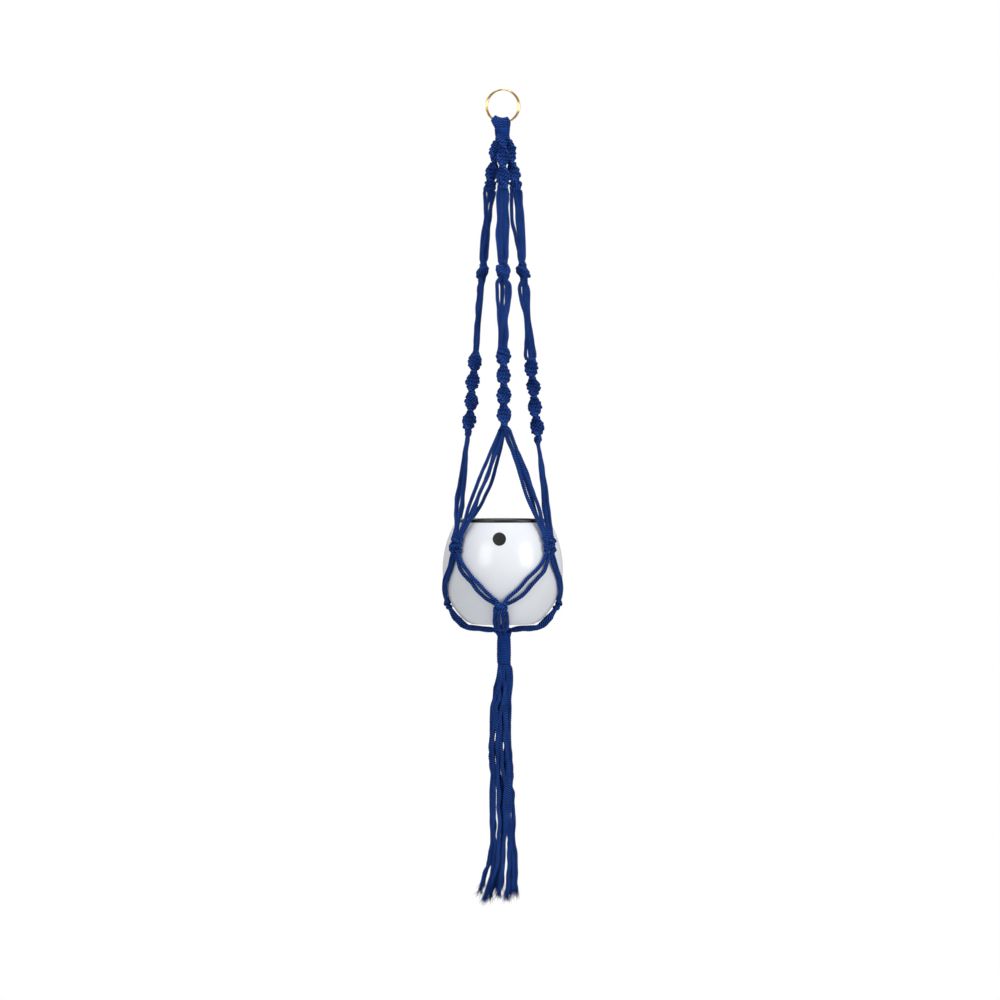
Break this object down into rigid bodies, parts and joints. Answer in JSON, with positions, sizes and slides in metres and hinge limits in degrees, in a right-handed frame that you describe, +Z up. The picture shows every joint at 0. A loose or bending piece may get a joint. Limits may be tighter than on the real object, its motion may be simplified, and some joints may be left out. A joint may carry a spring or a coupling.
{
  "type": "hanging plant holder",
  "caption": "Knotted cord plant hanger with its pot: cord arms hang from a metal ring, join in a net round a round-bellied pot and end in a tassel.",
  "frame": {"origin": "the point at the top of the ring's eye that bears on a hook", "axes": "+Z up, against gravity as it hangs; -Y towards the side with the dot, along the ring's axis; +X to the right of that side"},
  "size_m": [0.1518, 0.1518, 0.9992],
  "materials": {
    "cord": "twisted cotton cord, matt, deep blue",
    "ring_metal": "polished, gold-coloured",
    "pot_body": "glossy white enamel",
    "pot_trim": "satin black enamel"
  },
  "bodies": {
    "ring": {"ring": "ring_metal"},
    "loops": {"cord_loops": "cord"},
    "hanger": {"top_wrap": "cord", "upper_twist_front": "cord", "collar_knot_front": "cord", "upper_cords_front": "cord", "mid_knot_front": "cord", "lower_cords_front": "cord", "lower_twist_front": "cord", "upper_twist_right": "cord", "collar_knot_right": "cord", "upper_cords_right": "cord", "mid_knot_right": "cord", "lower_cords_right": "cord", "lower_twist_right": "cord", "upper_twist_back": "cord", "collar_knot_back": "cord", "upper_cords_back": "cord", "mid_knot_back": "cord", "lower_cords_back": "cord", "lower_twist_back": "cord", "upper_twist_left": "cord", "collar_knot_left": "cord", "upper_cords_left": "cord", "mid_knot_left": "cord", "lower_cords_left": "cord", "lower_twist_left": "cord", "leg_front_to_right": "cord", "leg_right_to_front": "cord", "cross_knot_front_right": "cord", "cradle_leg_front_right_to_front": "cord", "cradle_leg_front_right_to_right": "cord", "cradle_knot_front": "cord", "base_bundle_front": "cord", "leg_right_to_back": "cord", "leg_back_to_right": "cord", "cross_knot_right_back": "cord", "cradle_leg_right_back_to_right": "cord", "cradle_leg_right_back_to_back": "cord", "cradle_knot_right": "cord", "base_bundle_right": "cord", "leg_back_to_left": "cord", "leg_left_to_back": "cord", "cross_knot_back_left": "cord", "cradle_leg_back_left_to_back": "cord", "cradle_leg_back_left_to_left": "cord", "cradle_knot_back": "cord", "base_bundle_back": "cord", "leg_left_to_front": "cord", "leg_front_to_left": "cord", "cross_knot_left_front": "cord", "cradle_leg_left_front_to_left": "cord", "cradle_leg_left_front_to_front": "cord", "cradle_knot_left": "cord", "base_bundle_left": "cord"},
    "pot": {"pot": "pot_body", "pot_rim": "pot_trim", "pot_dot": "pot_trim"},
    "wrap": {"base_wrap": "cord"},
    "tassel": {"tassel": "cord"}
  },
  "joints": [
    {"name": "loops_slide_round_ring", "type": "hinge", "parent": "ring", "child": "loops", "pos_m": [0, 0, -0.0186], "axis": [0, 1, 0], "range_deg": [-45, 45]},
    {"name": "hanger_swing", "type": "hinge", "parent": "loops", "child": "hanger", "pos_m": [0, 0, -0.0391], "axis": [1, 0, 0], "range_deg": [-60, 60]},
    {"name": "pot_turn", "type": "hinge", "parent": "hanger", "child": "pot", "pos_m": [0, 0, -0.6556], "axis": [0, 0, 1], "continuous": true},
    {"name": "wrap_swing", "type": "hinge", "parent": "hanger", "child": "wrap", "pos_m": [0, 0, -0.6702], "axis": [1, 0, 0], "range_deg": [-40, 40]},
    {"name": "tassel_swing", "type": "hinge", "parent": "wrap", "child": "tassel", "pos_m": [0, 0, -0.7126], "axis": [0, 1, 0], "range_deg": [-50, 50]}
  ]
}
